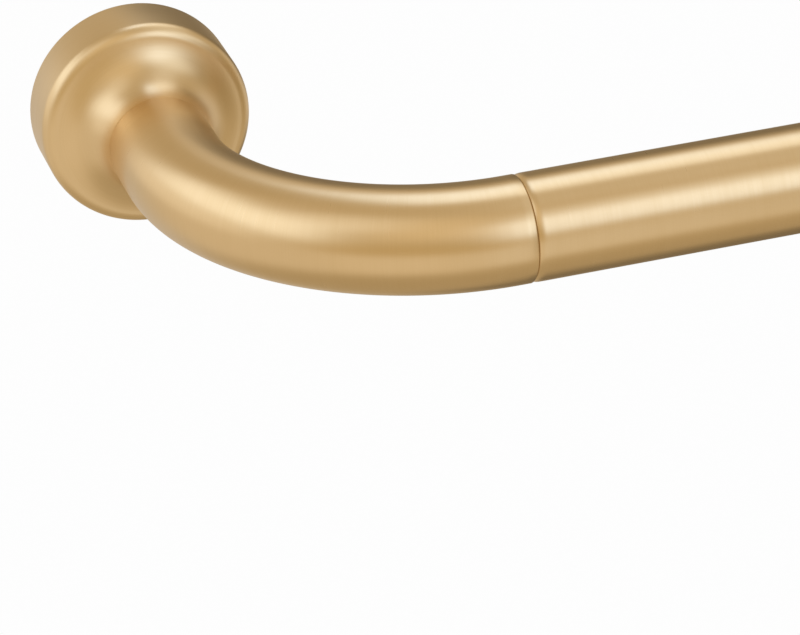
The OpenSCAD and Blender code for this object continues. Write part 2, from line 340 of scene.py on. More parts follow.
inner_collar = turned("inner_rod_end_collar",
                      [(INSERT_R, COLLAR_X - COLLAR_PLUG), (INNER_BORE_R, COLLAR_X - COLLAR_PLUG),
                       (INNER_BORE_R, COLLAR_X)]
                      + arc(TUBE_R - 0.4, COLLAR_X + 0.4, 0.4, 270, 360, 4)
                      + rolled_edge(ROD_X1 - EDGE_LONG, 0, 90)
                      + [(INSERT_R, ROD_X1)], TUBE_GOLD)
print("rod from", ROD_X0, "to", ROD_X1, "mm, mouth at", MOUTH_X, "mm")

# %% [markdown]
# ## The flange cup
# The cup is cast and turned: a plain band, a broad rounded shoulder, and then a long hollow fillet
# that sweeps up into the tube so smoothly that no seam shows. That is an
# outline for the same lathe. Inside, two ribs and a stop hold it on the bracket, and a slot in the
# bottom of the band lets the bracket in. Those are cut and joined with booleans.

# %% Cup outline
CAVITY_R = FLANGE_R - 1.8
FACE_DEPTH = BAND_DEPTH + SHOULDER_R
CAVITY_DEPTH = FACE_DEPTH - 3
FILLET = 12.0
HUB_EDGE_R = TUBE_R + 0.03
SEAT = FACE_DEPTH - 0.2   # depth of the step in the cup that the elbow stands on
# The shoulder bulges and the fillet is hollow, and they touch where their centres line up
centre_gap = HUB_EDGE_R + FILLET - (FLANGE_R - SHOULDER_R)
meet = math.degrees(math.acos(centre_gap / (FILLET + SHOULDER_R)))
hub_depth = BAND_DEPTH + math.sqrt((FILLET + SHOULDER_R) ** 2 - centre_gap ** 2)
cup_outline = (
    arc(HUB_EDGE_R + FILLET, hub_depth, FILLET, 180, 180 + meet, 48)
    + arc(FLANGE_R - SHOULDER_R, BAND_DEPTH, SHOULDER_R, meet - 4, 0, 24)
    + arc(FLANGE_R - 0.3, 0.7, 0.3, 0, -90, 4)
    + [(CAVITY_R, 0.4), (CAVITY_R, CAVITY_DEPTH), (BORE_R - 0.7, CAVITY_DEPTH),
       (BORE_R - 0.7, SEAT), (TUBE_R - 0.02, SEAT), (TUBE_R - 0.02, hub_depth)]
)
cup = turned("left_flange_cup_shell", cup_outline, FLANGE_GOLD, INTO_ROOM, (0, 0, 0), 192)


# %% Ribs, stop and slot
def dovetail(depth, grow):
    """Corners of the bracket's plan, widened by grow, as (x, y) in mm."""
    slope = 1.5 / (CAVITY_DEPTH - 0.5)
    w0, w1 = 12 + grow, 12 + grow + slope * depth
    return [(-w0, 0), (w0, 0), (w1, -depth), (-w1, -depth)]


def prism(name, corners, z0, z1):
    """An upright prism on (x, y) corners, in mm."""
    n = len(corners)
    points = [(mm(x), mm(y), mm(z)) for z in (z0, z1) for x, y in corners]
    faces = [tuple(range(n)), tuple(range(2 * n - 1, n - 1, -1))]
    faces += [(i, (i + 1) % n, (i + 1) % n + n, i + n) for i in range(n)]
    mesh = bpy.data.meshes.new(name)
    mesh.from_pydata(points, [], faces)
    return finish_mesh(new_object(name, mesh, FLANGE_GOLD))


def carve(target, tool, operation):
    """Applies one boolean to target and throws the tool away."""
    modifier = target.modifiers.new("carve", "BOOLEAN")
    modifier.object, modifier.operation, modifier.solver = tool, operation, "EXACT"
    settle(target)
    bpy.data.objects.remove(tool)


def settle(obj):
    """Turns an object with modifiers into a plain mesh."""
    graph = bpy.context.evaluated_depsgraph_get()
    mesh = bpy.data.meshes.new_from_object(obj.evaluated_get(graph))
    obj.modifiers.clear()
    obj.data = mesh
    return obj


CLEAR = 0.3             # between the bracket and the cup's ribs
STOP_Z = 16.0 + CLEAR   # underside of the stop, just over the bracket's top
RIB = 2.2               # thickness of a rib
ribs = prism("ribs", dovetail(CAVITY_DEPTH + 0.4, CLEAR + RIB), -FLANGE_R, STOP_Z + RIB)
disc = turned("disc", [(0, 0.42), (CAVITY_R + 0.4, 0.42), (CAVITY_R + 0.4, CAVITY_DEPTH + 0.3),
                       (0, CAVITY_DEPTH + 0.3)], FLANGE_GOLD, INTO_ROOM, (0, 0, 0), 96)
carve(ribs, disc, "INTERSECT")
carve(ribs, prism("channel", [(x, y + 1 if y == 0 else y) for x, y in dovetail(CAVITY_DEPTH + 3, CLEAR)],
                  -FLANGE_R - 1, STOP_Z), "DIFFERENCE")
carve(cup, ribs, "UNION")
carve(cup, prism("slot", [(x, y + 1 if y == 0 else y) for x, y in dovetail(CAVITY_DEPTH - 0.01, CLEAR)],
                 -FLANGE_R - 1, -CAVITY_R * 0.8), "DIFFERENCE")
finish_mesh(cup)
paint(cup, FLANGE_GOLD)
cup.data.materials.append(CAST_GOLD)
for face in cup.data.polygons:
    x, y, z = face.center * 1000
    if -y < CAVITY_DEPTH + 0.1 and math.hypot(x, z) < CAVITY_R + 0.1:
        face.material_index = 1
print("cup:", len(cup.data.polygons), "faces")

# %% [markdown]
# ## The elbow
# The elbow is tube that was drawn straight and then bent, so its shape follows a rule: a path with one
# rounded corner. Geometry Nodes say that rule directly. Fillet Curve rounds the corner of a path of
# three points, and Curve to Mesh sweeps a circle along it. The distance along the path and the
# place on the circle are kept as grain, so the brushed lines go round the bend as they do on the
# real tube. Solidify then gives the tube its wall, and a bevel softens the cut ends.

# %% Node tree for a bent tube
bent = bpy.data.node_groups.new("bent_tube", "GeometryNodeTree")
for label, kind in (("Path", "Geometry"), ("Bend radius", "Float"), ("Bend steps", "Int"),
                    ("Tube radius", "Float"), ("Sides", "Int"), ("Finish", "Material")):
    bent.interface.new_socket(label, in_out="INPUT", socket_type="NodeSocket" + kind)
bent.interface.new_socket("Tube", in_out="OUTPUT", socket_type="NodeSocketGeometry")
given = add_node(bent, "NodeGroupInput").outputs
corner = add_node(bent, "GeometryNodeMeshToCurve", {"Mesh": given["Path"]})
rounded = add_node(bent, "GeometryNodeFilletCurve",
                   {"Curve": corner.outputs["Curve"], "Radius": given["Bend radius"],
                    "Count": given["Bend steps"]}, mode="POLY")
place = add_node(bent, "GeometryNodeSplineParameter").outputs
path = add_node(bent, "GeometryNodeStoreNamedAttribute",
                {"Geometry": rounded.outputs["Curve"], "Name": "run", "Value": place["Length"]},
                data_type="FLOAT")
circle = add_node(bent, "GeometryNodeCurvePrimitiveCircle",
                  {"Resolution": given["Sides"], "Radius": given["Tube radius"]})
ring = add_node(bent, "GeometryNodeStoreNamedAttribute",
                {"Geometry": circle.outputs["Curve"], "Name": "share", "Value": place["Factor"]},
                data_type="FLOAT")
ring_place = add_node(bent, "GeometryNodeStoreNamedAttribute",
                      {"Geometry": ring.outputs["Geometry"], "Name": "ring",
                       "Value": add_node(bent, "GeometryNodeInputPosition").outputs[0]},
                      data_type="FLOAT_VECTOR")
tube = add_node(bent, "GeometryNodeCurveToMesh", {"Curve": path.outputs["Geometry"],
                                                  "Profile Curve": ring_place.outputs["Geometry"]})
run = add_node(bent, "GeometryNodeInputNamedAttribute", {"Name": "run"}, data_type="FLOAT").outputs[0]
share = add_node(bent, "GeometryNodeInputNamedAttribute", {"Name": "share"}, data_type="FLOAT").outputs[0]
spot = add_node(bent, "ShaderNodeSeparateXYZ", {"Vector": add_node(
    bent, "GeometryNodeInputNamedAttribute", {"Name": "ring"}, data_type="FLOAT_VECTOR").outputs[0]}).outputs
grain = add_node(bent, "ShaderNodeCombineXYZ", {"X": run, "Y": spot["X"], "Z": spot["Y"]})
with_grain = add_node(bent, "GeometryNodeStoreNamedAttribute",
                      {"Geometry": tube.outputs["Mesh"], "Name": "grain", "Value": grain.outputs[0]},
                      data_type="FLOAT_VECTOR")
along = add_node(bent, "ShaderNodeMath", {0: run, 1: mm(UV_LENGTH)}, operation="DIVIDE")
flat = add_node(bent, "ShaderNodeCombineXYZ", {"X": along.outputs[0], "Y": share})
with_uv = add_node(bent, "GeometryNodeStoreNamedAttribute",
                   {"Geometry": with_grain.outputs["Geometry"], "Name": "UVMap", "Value": flat.outputs[0]},
                   data_type="FLOAT2", domain="CORNER")
real = add_node(bent, "GeometryNodeRealizeInstances", {"Geometry": with_uv.outputs["Geometry"]})
painted = add_node(bent, "GeometryNodeSetMaterial",
                   {"Geometry": real.outputs["Geometry"], "Material": given["Finish"]})
add_node(bent, "NodeGroupOutput", {0: painted.outputs["Geometry"]})
print("bent tube tree:", len(bent.nodes), "nodes")


# %% Bend the elbow
def made_by(tree, name, mesh, material, values):
    """An object whose mesh is what a Geometry Nodes tree makes of a mesh with these inputs."""
    obj = new_object(name, mesh, material)
    modifier = obj.modifiers.new("nodes", "NODES")
    modifier.node_group = tree
    sockets = {s.name: s.identifier for s in tree.interface.items_tree if s.in_out == "INPUT"}
    for label, value in values.items():
        modifier[sockets[label]] = value
    settle(obj)
    for spare in ("run", "share", "ring"):
        if spare in obj.data.attributes:
            obj.data.attributes.remove(obj.data.attributes[spare])
    return obj


elbow_path = bpy.data.meshes.new("elbow_path")
elbow_path.from_pydata([(0, mm(-SEAT), 0), (0, mm(-REACH), 0), (mm(JOINT_X), mm(-REACH), 0)],
                       [(0, 1), (1, 2)], [])
elbow = made_by(bent, "left_return_tube", elbow_path, TUBE_GOLD,
                {"Bend radius": mm(BEND_R), "Bend steps": 120, "Tube radius": mm(TUBE_R), "Sides": 128,
                 "Finish": TUBE_GOLD})
face_outwards(elbow)
wall = elbow.modifiers.new("wall", "SOLIDIFY")
wall.thickness, wall.offset, wall.use_even_offset = mm(TUBE_WALL), -1.0, True
cut_end = elbow.modifiers.new("cut end", "BEVEL")
cut_end.width, cut_end.segments = mm(0.35), 3
cut_end.limit_method, cut_end.angle_limit = "ANGLE", math.radians(60)
settle(elbow)
paint(elbow, TUBE_GOLD)
finish_mesh(elbow)
print("elbow:", len(elbow.data.polygons), "faces")

# %% [markdown]
# ## Threads
# The stud that joins elbow and rod is an M8 thread, and the wall screws have a coarse wood
# thread. A thread is a ridge that follows a spiral, so Geometry Nodes sweep a small trapezoid
# along one. Its start winds in towards the tip, and both its ends thin out, as on a rolled thread.

# %% Node tree for a thread
thread = bpy.data.node_groups.new("thread_ridge", "GeometryNodeTree")
for label, kind in (("Core", "Geometry"), ("Core radius", "Float"), ("Pitch", "Float"), ("Turns", "Float"),
                    ("Tip length", "Float"), ("Tip share", "Float"), ("Root width", "Float"),
                    ("Crest width", "Float"), ("Ridge height", "Float"), ("Steps a turn", "Int"),
                    ("Finish", "Material")):
    thread.interface.new_socket(label, in_out="INPUT", socket_type="NodeSocket" + kind)
thread.interface.new_socket("Threaded", in_out="OUTPUT", socket_type="NodeSocketGeometry")
asked = add_node(thread, "NodeGroupInput").outputs
thread_length = add_node(thread, "ShaderNodeMath", {0: asked["Pitch"], 1: asked["Turns"]},
                         operation="MULTIPLY")
spiral = add_node(thread, "GeometryNodeCurveSpiral",
                  {"Resolution": asked["Steps a turn"], "Rotations": asked["Turns"],
                   "Start Radius": asked["Core radius"], "End Radius": asked["Core radius"],
                   "Height": thread_length.outputs[0], "Reverse": True})
height = add_node(thread, "ShaderNodeSeparateXYZ",
                  {"Vector": add_node(thread, "GeometryNodeInputPosition").outputs[0]}).outputs["Z"]
wind_in = add_node(thread, "ShaderNodeMapRange", {"Value": height, "From Max": asked["Tip length"],
                                                  "To Min": asked["Tip share"]})
narrow = add_node(thread, "ShaderNodeCombineXYZ",
                  {"X": wind_in.outputs[0], "Y": wind_in.outputs[0], "Z": 1.0})
moved = add_node(thread, "ShaderNodeVectorMath",
                 {0: add_node(thread, "GeometryNodeInputPosition").outputs[0], 1: narrow.outputs[0]},
                 operation="MULTIPLY")
wound = add_node(thread, "GeometryNodeSetPosition", {"Geometry": spiral.outputs["Curve"],
                                                     "Position": moved.outputs[0]})
upright = add_node(thread, "GeometryNodeSetCurveNormal", {"Curve": wound.outputs["Geometry"]}, mode="Z_UP")
progress = add_node(thread, "GeometryNodeSplineParameter").outputs["Factor"]
fade_in = add_node(thread, "ShaderNodeMapRange", {"Value": height, "From Max": asked["Tip length"],
                                                  "To Min": 0.05, "To Max": 1.0})
fade_out = add_node(thread, "ShaderNodeMapRange", {"Value": progress, "From Min": 0.95, "From Max": 1.0,
                                                   "To Min": 1.0, "To Max": 0.05})
fade = add_node(thread, "ShaderNodeMath", {0: fade_in.outputs[0], 1: fade_out.outputs[0]},
                operation="MINIMUM")
section = add_node(thread, "GeometryNodeCurvePrimitiveQuadrilateral",
                   {"Bottom Width": asked["Root width"], "Top Width": asked["Crest width"],
                    "Height": asked["Ridge height"], "Offset": 0.0}, mode="TRAPEZOID")
# the curve's own side is radial, so the section is turned to put its narrow crest outside
crest_out = add_node(thread, "GeometryNodeTransform",
                     {"Geometry": section.outputs["Curve"], "Rotation": (0, 0, -math.pi / 2)})
ridge = add_node(thread, "GeometryNodeCurveToMesh",
                 {"Curve": upright.outputs["Curve"], "Profile Curve": crest_out.outputs["Geometry"],
                  "Scale": fade.outputs[0], "Fill Caps": True})
joined = add_node(thread, "GeometryNodeJoinGeometry", {"Geometry": ridge.outputs["Mesh"]})
thread.links.new(asked["Core"], joined.inputs["Geometry"])
thread_real = add_node(thread, "GeometryNodeRealizeInstances", {"Geometry": joined.outputs["Geometry"]})
thread_painted = add_node(thread, "GeometryNodeSetMaterial",
                          {"Geometry": thread_real.outputs["Geometry"], "Material": asked["Finish"]})
add_node(thread, "NodeGroupOutput", {0: thread_painted.outputs["Geometry"]})
print("thread tree:", len(thread.nodes), "nodes")

# %% [markdown]
# The stud is 8 mm across and half of it is held in a plug in the elbow's end. Its thread is cut down
# to a 3.3 mm core. It stands upright while it is made, tip down, and is laid along the rod after.

# %% Studs
STUD_CORE_R = 3.3
STUD_IN_PLUG = 13.5
STUD_SHOWN = 14.3
STUD_RIDGE_HEIGHT, STUD_CREST = 0.72, 0.16
STUD_RIDGE_OUT = 0.28   # from the core to the middle of the ridge, whose root lies under the core's skin
M8_PITCH = 1.25
STANDING = ((0, 0, 1), (1, 0, 0), (0, 1, 0))
stud_length = STUD_IN_PLUG + STUD_SHOWN
stud_core = turned("stud_core", [(0, 0), (STUD_CORE_R - 0.5, 0), (STUD_CORE_R, 0.5),
                                 (STUD_CORE_R, stud_length - 0.5), (STUD_CORE_R - 0.5, stud_length),
                                 (0, stud_length)], ZINC, STANDING, (0, 0, 0), 64)
stud = made_by(thread, "left_stud", stud_core.data, ZINC,
               {"Core radius": mm(STUD_CORE_R + STUD_RIDGE_OUT), "Pitch": mm(M8_PITCH),
                "Turns": (stud_length - 1.2) / M8_PITCH, "Tip length": mm(M8_PITCH), "Tip share": 0.86,
                "Root width": mm(M8_PITCH * 0.95), "Crest width": mm(STUD_CREST),
                "Ridge height": mm(STUD_RIDGE_HEIGHT),
                "Steps a turn": 40, "Finish": ZINC})
bpy.data.objects.remove(stud_core)
paint(stud, ZINC)
finish_mesh(stud)
stud.data.transform(Matrix.Translation((mm(JOINT_X + STUD_SHOWN), mm(-REACH), 0))
                    @ Matrix.Rotation(-math.pi / 2, 4, "Y"))
print("stud:", len(stud.data.polygons), "faces, box", [round(v * 1000, 2) for v in mesh_box(stud)])

# %% [markdown]
# The wall screws have domed heads with a cross recess. One screw is made, and Geometry Nodes
# repeat it down the bracket. A real pair never stops with both crosses at the same
# angle, so each copy is turned a little about its own axis.

# %% One wall screw
HEAD_R, HEAD_H = 4.4, 3.0
SCREW_LENGTH, SCREW_TIP = 28.0, 5.0
SCREW_CORE_R, SHANK_R = 1.45, 1.8
WOOD_PITCH = 2.2
WOOD_RIDGE_HEIGHT, WOOD_ROOT, WOOD_CREST = 0.68, 0.95, 0.12
WOOD_RIDGE_OUT = 0.3    # from the core to the middle of the ridge, as on the stud
CROSS_LONG, CROSS_WIDE, CROSS_DEEP = 2.4, 0.5, 1.6   # half length, half width and depth of the recess
neck = SCREW_LENGTH + BRACKET_WALL
screw_core = turned("screw_core",
                    [(0, 0), (0.15, 0.1), (SCREW_CORE_R, SCREW_TIP), (SCREW_CORE_R, SCREW_LENGTH - 2),
                     (SHANK_R, SCREW_LENGTH - 1.2), (SHANK_R, neck), (HEAD_R - 0.25, neck),
                     (HEAD_R, neck + 0.25)]
                    + arc(HEAD_R - 1.8, neck + HEAD_H - 1.8, 1.8, 0, 72, 8)
                    + [(1.2, neck + HEAD_H - 0.02), (0, neck + HEAD_H)],
                    SCREW_GOLD, STANDING, (0, 0, 0), 64)
for x, y in ((CROSS_LONG, CROSS_WIDE), (CROSS_WIDE, CROSS_LONG)):
    arm = prism("recess", [(-x, y), (x, y), (x, -y), (-x, -y)], neck + HEAD_H - CROSS_DEEP, neck + HEAD_H + 1)
    carve(screw_core, arm, "DIFFERENCE")
screw = made_by(thread, "screw", screw_core.data, SCREW_GOLD,
                {"Core radius": mm(SCREW_CORE_R + WOOD_RIDGE_OUT), "Pitch": mm(WOOD_PITCH),
                 "Turns": (SCREW_LENGTH - 2.5) / WOOD_PITCH, "Tip length": mm(SCREW_TIP),
                 "Tip share": 0.12, "Root width": mm(WOOD_ROOT), "Crest width": mm(WOOD_CREST),
                 "Ridge height": mm(WOOD_RIDGE_HEIGHT),
                 "Steps a turn": 32, "Finish": SCREW_GOLD})
bpy.data.objects.remove(screw_core)
paint(screw, SCREW_GOLD)
finish_mesh(screw)
screw.data.transform(Matrix.Translation((0, mm(SCREW_LENGTH), 0)) @ Matrix.Rotation(math.pi / 2, 4, "X"))
print("one screw:", len(screw.data.polygons), "faces")

# %% Node tree for a row of screws
row = bpy.data.node_groups.new("screw_row", "GeometryNodeTree")
for label, kind in (("Screw", "Geometry"), ("Count", "Int"), ("Pitch", "Float"), ("Turn of each", "Float"),
                    ("Finish", "Material")):
    row.interface.new_socket(label, in_out="INPUT", socket_type="NodeSocket" + kind)
row.interface.new_socket("Screws", in_out="OUTPUT", socket_type="NodeSocketGeometry")
wanted = add_node(row, "NodeGroupInput").outputs
half = add_node(row, "ShaderNodeMath", {0: wanted["Pitch"], 1: -0.5}, operation="MULTIPLY")
line = add_node(row, "GeometryNodeMeshLine",
                {"Count": wanted["Count"],
                 "Start Location": add_node(row, "ShaderNodeCombineXYZ", {"Z": half.outputs[0]}).outputs[0],
                 "Offset": add_node(row, "ShaderNodeCombineXYZ", {"Z": wanted["Pitch"]}).outputs[0]})
which = add_node(row, "GeometryNodeInputIndex").outputs[0]
turn = add_node(row, "ShaderNodeMath", {0: which, 1: wanted["Turn of each"]}, operation="MULTIPLY")
spin = add_node(row, "ShaderNodeCombineXYZ", {"Y": turn.outputs[0]})
copies = add_node(row, "GeometryNodeInstanceOnPoints",
                  {"Points": line.outputs["Mesh"], "Instance": wanted["Screw"], "Rotation": spin.outputs[0]})
row_real = add_node(row, "GeometryNodeRealizeInstances", {"Geometry": copies.outputs["Instances"]})
row_painted = add_node(row, "GeometryNodeSetMaterial",
                       {"Geometry": row_real.outputs["Geometry"], "Material": wanted["Finish"]})
add_node(row, "NodeGroupOutput", {0: row_painted.outputs["Geometry"]})
screws = made_by(row, "left_wall_screws", screw.data, SCREW_GOLD,
                 {"Count": 2, "Pitch": mm(SCREW_PITCH), "Turn of each": math.radians(31),
                  "Finish": SCREW_GOLD})
bpy.data.objects.remove(screw)
paint(screws, SCREW_GOLD)
print("wall screws: box", [round(v * 1000, 2) for v in mesh_box(screws)])

# %% [markdown]
# ## The bracket
# The bracket is a zinc casting with a dovetail plan. Its CAD shape is already right, but a casting has
# no sharp edges, so a copy of that mesh is cleaned up and bevelled. The CAD mesh is loose triangles,
# so its points are merged and its flat faces rejoined first, or the bevel would find no edges.


# %% Bracket with softened edges
def softened_copy(node, name, material, width_mm, segments=3, limit_degrees=35):
    """A copy of a CAD node with merged points, whole faces and bevelled edges."""
    obj = new_object(name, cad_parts[node].data.copy(), material)
    work = bmesh.new()
    work.from_mesh(obj.data)
    bmesh.ops.remove_doubles(work, verts=work.verts, dist=2e-6)
    bmesh.ops.recalc_face_normals(work, faces=work.faces)
    bmesh.ops.dissolve_limit(work, angle_limit=math.radians(0.5), verts=work.verts, edges=work.edges)
    work.to_mesh(obj.data)
    work.free()
    edge = obj.modifiers.new("edge", "BEVEL")
    edge.width, edge.segments, edge.limit_method = mm(width_mm), segments, "ANGLE"
    edge.angle_limit = math.radians(limit_degrees)
    settle(obj)
    paint(obj, material)
    return finish_mesh(obj, 32)


bracket = softened_copy("left_wall_bracket", "left_bracket_casting", CAST_GOLD, 0.35)
print("bracket:", len(bracket.data.polygons), "faces")

# %% [markdown]
# ## Pieces inside the joint
# Between elbow and rod there is a steel plug with the stud in it, a thin nylon washer, and, inside the
# rod's end, a nylon plug that holds a threaded steel insert. They show only when the joint
# is unscrewed, and all of them are turned.

# %% Plugs, inserts and washers
PLUG_FACE = JOINT_X - 0.5
PLUG_DISC = PLUG_FACE - BEND_R
BOSS_R, BOSS_LENGTH = 7.0, 13.0
boss_end = PLUG_FACE - PLUG_DISC - BOSS_LENGTH
elbow_plug = turned("left_joint_plug",
                    [(STUD_R, PLUG_FACE - 0.4), (STUD_R + 0.4, PLUG_FACE), (BORE_R - 0.4, PLUG_FACE),
                     (BORE_R, PLUG_FACE - 0.4), (BORE_R, PLUG_FACE - PLUG_DISC),
                     (BOSS_R, PLUG_FACE - PLUG_DISC), (BOSS_R, boss_end + 0.6), (BOSS_R - 0.6, boss_end),
                     (STUD_R, boss_end)], ZINC)
WASHER_R = BORE_R - 0.5
washer = turned("left_washer_ring",
                [(STUD_R + 0.2, PLUG_FACE + 0.05), (WASHER_R - 0.1, PLUG_FACE + 0.05),
                 (WASHER_R, PLUG_FACE + 0.15), (WASHER_R, PLUG_FACE + 0.35),
                 (WASHER_R - 0.1, PLUG_FACE + 0.45), (STUD_R + 0.2, PLUG_FACE + 0.45)], DARK_NYLON)
INSERT_LENGTH = 16.0
insert = turned("outer_rod_insert",
                [(STUD_R + 0.05, ROD_X0 + 1.1), (STUD_R + 0.55, ROD_X0 + 0.6), (INSERT_R - 0.3, ROD_X0 + 0.6),
                 (INSERT_R, ROD_X0 + 0.9), (INSERT_R, ROD_X0 + 0.6 + INSERT_LENGTH),
                 (STUD_R + 0.05, ROD_X0 + 0.6 + INSERT_LENGTH)], ZINC)
END_PLUG = 18.0
end_plug = turned("outer_rod_end_plug",
                  [(INSERT_R, ROD_X0 + 1), (BORE_R - 0.4, ROD_X0 + 1), (BORE_R, ROD_X0 + 1.4),
                   (BORE_R, ROD_X0 + END_PLUG + 0.4), (BORE_R - 0.6, ROD_X0 + END_PLUG + 1),
                   (INSERT_R, ROD_X0 + END_PLUG + 1)], WHITE_NYLON)
FLUTE_X0, FLUTE_X1 = ROD_X0 + 5, ROD_X0 + 25
FLUTE_R = 9.7   # radius of a flute's bottom
for turn_degrees in (45, 135, 225, 315):
    flute = prism("flute", [(FLUTE_X0, 1), (FLUTE_X1, 1), (FLUTE_X1, -1), (FLUTE_X0, -1)], FLUTE_R, TUBE_R)
    flute.data.transform(Matrix.Translation((0, mm(-REACH), 0))
                         @ Matrix.Rotation(math.radians(turn_degrees), 4, "X"))
    carve(end_plug, flute, "DIFFERENCE")
paint(end_plug, WHITE_NYLON)
finish_mesh(end_plug)
print("joint pieces:", elbow_plug.name, washer.name, insert.name, end_plug.name)

# %% [markdown]
# ## The right-hand end
# The right-hand end is the left one mirrored. Threads are the exception: a mirrored thread would be
# left-handed, so the stud is swung half round instead, and the wall screws are just moved across.

# %% Right-hand pieces
moved_across = Matrix.Translation((mm(SPAN), 0, 0))
right_cup = at_right(cup, "right_flange_cup_shell", MIRROR)
right_elbow = at_right(elbow, "right_return_tube", MIRROR)
right_plug = at_right(elbow_plug, "right_joint_plug", MIRROR)
right_washer = at_right(washer, "right_washer_ring", MIRROR)
right_bracket = at_right(bracket, "right_bracket_casting", MIRROR)
right_stud = at_right(stud, "right_stud", HALF_TURN)
right_screws = at_right(screws, "right_wall_screws", moved_across)
inner_insert = at_right(insert, "inner_rod_insert", HALF_TURN)
print("right-hand pieces made")

# %% [markdown]
# ## What each piece stands for
# Every piece rides on a body of the CAD model, stands for a CAD node, and names the material slot
# that its finish comes from. The inner tube's guide plug never shows, so its CAD mesh stays and is
# only painted.

# %% Ride, replace, slot
PARTS = (
    (bracket, "left_bracket", "left_wall_bracket", "bracket_metal"),
    (screws, "left_bracket", "left_bracket_screws", "screw_metal"),
    (cup, "left_return", "left_flange_cup", "flange_metal"),
    (elbow, "left_return", "left_elbow_tube", "tube_metal"),
    (elbow_plug, "left_return", "left_elbow_plug", "zinc_steel"),
    (stud, "left_return", "left_threaded_stud", "zinc_steel"),
    (washer, "left_washer", "left_joint_washer", "washer_nylon"),
    (outer_tube, "outer_rod", "outer_tube", "tube_metal"),
    (end_plug, "outer_rod", "outer_end_plug", "white_nylon"),
    (insert, "outer_rod", "outer_thread_insert", "zinc_steel"),
    (mouth_bush, "mouth_bush", "outer_mouth_bush", "white_nylon"),
    (inner_tube, "inner_rod", "inner_tube", "tube_metal"),
    (inner_collar, "inner_rod", "inner_end_collar", "tube_metal"),
    (inner_insert, "inner_rod", "inner_thread_insert", "zinc_steel"),
    (right_washer, "right_washer", "right_joint_washer", "washer_nylon"),
    (right_stud, "right_return", "right_threaded_stud", "zinc_steel"),
    (right_plug, "right_return", "right_elbow_plug", "zinc_steel"),
    (right_elbow, "right_return", "right_elbow_tube", "tube_metal"),
    (right_cup, "right_return", "right_flange_cup", "flange_metal"),
    (right_bracket, "right_bracket", "right_wall_bracket", "bracket_metal"),
    (right_screws, "right_bracket", "right_bracket_screws", "screw_metal"),
)
for piece, body, node, slot in PARTS:
    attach(piece, body)
    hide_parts(node)
paint(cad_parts["inner_guide_plug"], WHITE_NYLON)
print(len(PARTS), "pieces placed")

# %% [markdown]
# ## Studio
# Brushed metal shows little but its surroundings, so the light matters as much as the material. The
# studio is a World: soft boxes are drawn on the sky by the direction of each ray, with wide soft
# edges. The widest stand for the room, its ceiling and its floor, dim ones for the wall behind the
# rod, and bright ones for windows. A few colours of light serve them all. The camera itself sees a
# plain near-white backdrop instead.

# %% Colours of light, and soft boxes drawn on the sky
# From the warmest to the bluest
LAMPLIGHT = "#FFE5B4"
CREAM_WALL = "#FFEBC9"
PALE_WALL = "#FFF2E0"
WHITE_CARD = "#FFF8F0"
DAYLIGHT = "#F2F6FF"
SKYLIGHT = "#D6E4FF"
SOFT_BOXES = (
    # Later ones lie over earlier ones. Azimuth runs from the room at 0 through right at 90 to the wall
    # at 180. In degrees: azimuth, elevation, half width, half height, softness; then colour, strength
    ("room", 0, 0, 200, 95, 1, CREAM_WALL, 0.60),
    ("ceiling", 0, 90, 200, 24, 10, CREAM_WALL, 0.60),
    ("floor", 0, -90, 200, 40, 24, CREAM_WALL, 0.50),
    ("low behind left", -160, -22, 30, 26, 12, WHITE_CARD, 0.65),
    ("low left", -95, -22, 35, 28, 12, PALE_WALL, 0.75),
    ("low front", -30, -26, 30, 24, 12, PALE_WALL, 0.80),
    ("low right", 16, -18, 14, 26, 9, WHITE_CARD, 0.85),
    ("low right behind", 118, -14, 30, 24, 12, WHITE_CARD, 0.75),
    ("right side", 54, 0, 24, 26, 10, LAMPLIGHT, 0.40),
    ("front gap", -22, 5, 34, 12, 8, LAMPLIGHT, 0.60),
    ("upper front", -15, 45, 24, 22, 12, CREAM_WALL, 0.80),
    ("upper left", -60, 55, 28, 14, 9, WHITE_CARD, 0.90),
    ("left", -98, 28, 40, 18, 12, DAYLIGHT, 1.45),
    ("left beside", -115, 4, 32, 10, 8, WHITE_CARD, 0.95),
    ("right", 44, 34, 22, 16, 9, DAYLIGHT, 1.20),
    ("right front", 22, 24, 10, 16, 8, SKYLIGHT, 2.35),
    ("upper right", 75, 58, 30, 14, 9, WHITE_CARD, 0.80),
    ("left wall", -160, 45, 22, 22, 12, CREAM_WALL, 0.55),
    ("dark wall", 142, 6, 28, 22, 9, CREAM_WALL, 0.20),
    ("low dark wall", 130, -52, 32, 20, 9, CREAM_WALL, 0.20),
    ("above the wall", 138, 56, 26, 16, 8, DAYLIGHT, 1.45),
    ("above the rod", 162, 62, 14, 15, 8, SKYLIGHT, 2.10),
)
world = bpy.data.worlds.new("studio")
bpy.context.scene.world = world
world.use_nodes = True
sky = world.node_tree
sky.nodes.clear()
direction = add_node(sky, "ShaderNodeSeparateXYZ",
                     {"Vector": add_node(sky, "ShaderNodeTexCoord").outputs["Generated"]}).outputs
elevation = add_node(sky, "ShaderNodeMath", {0: direction["Z"]}, operation="ARCSINE").outputs[0]
into_room = add_node(sky, "ShaderNodeMath", {0: direction["Y"], 1: -1.0}, operation="MULTIPLY").outputs[0]
azimuth = add_node(sky, "ShaderNodeMath", {0: direction["X"], 1: into_room}, operation="ARCTAN2").outputs[0]
light = linear("#000000")
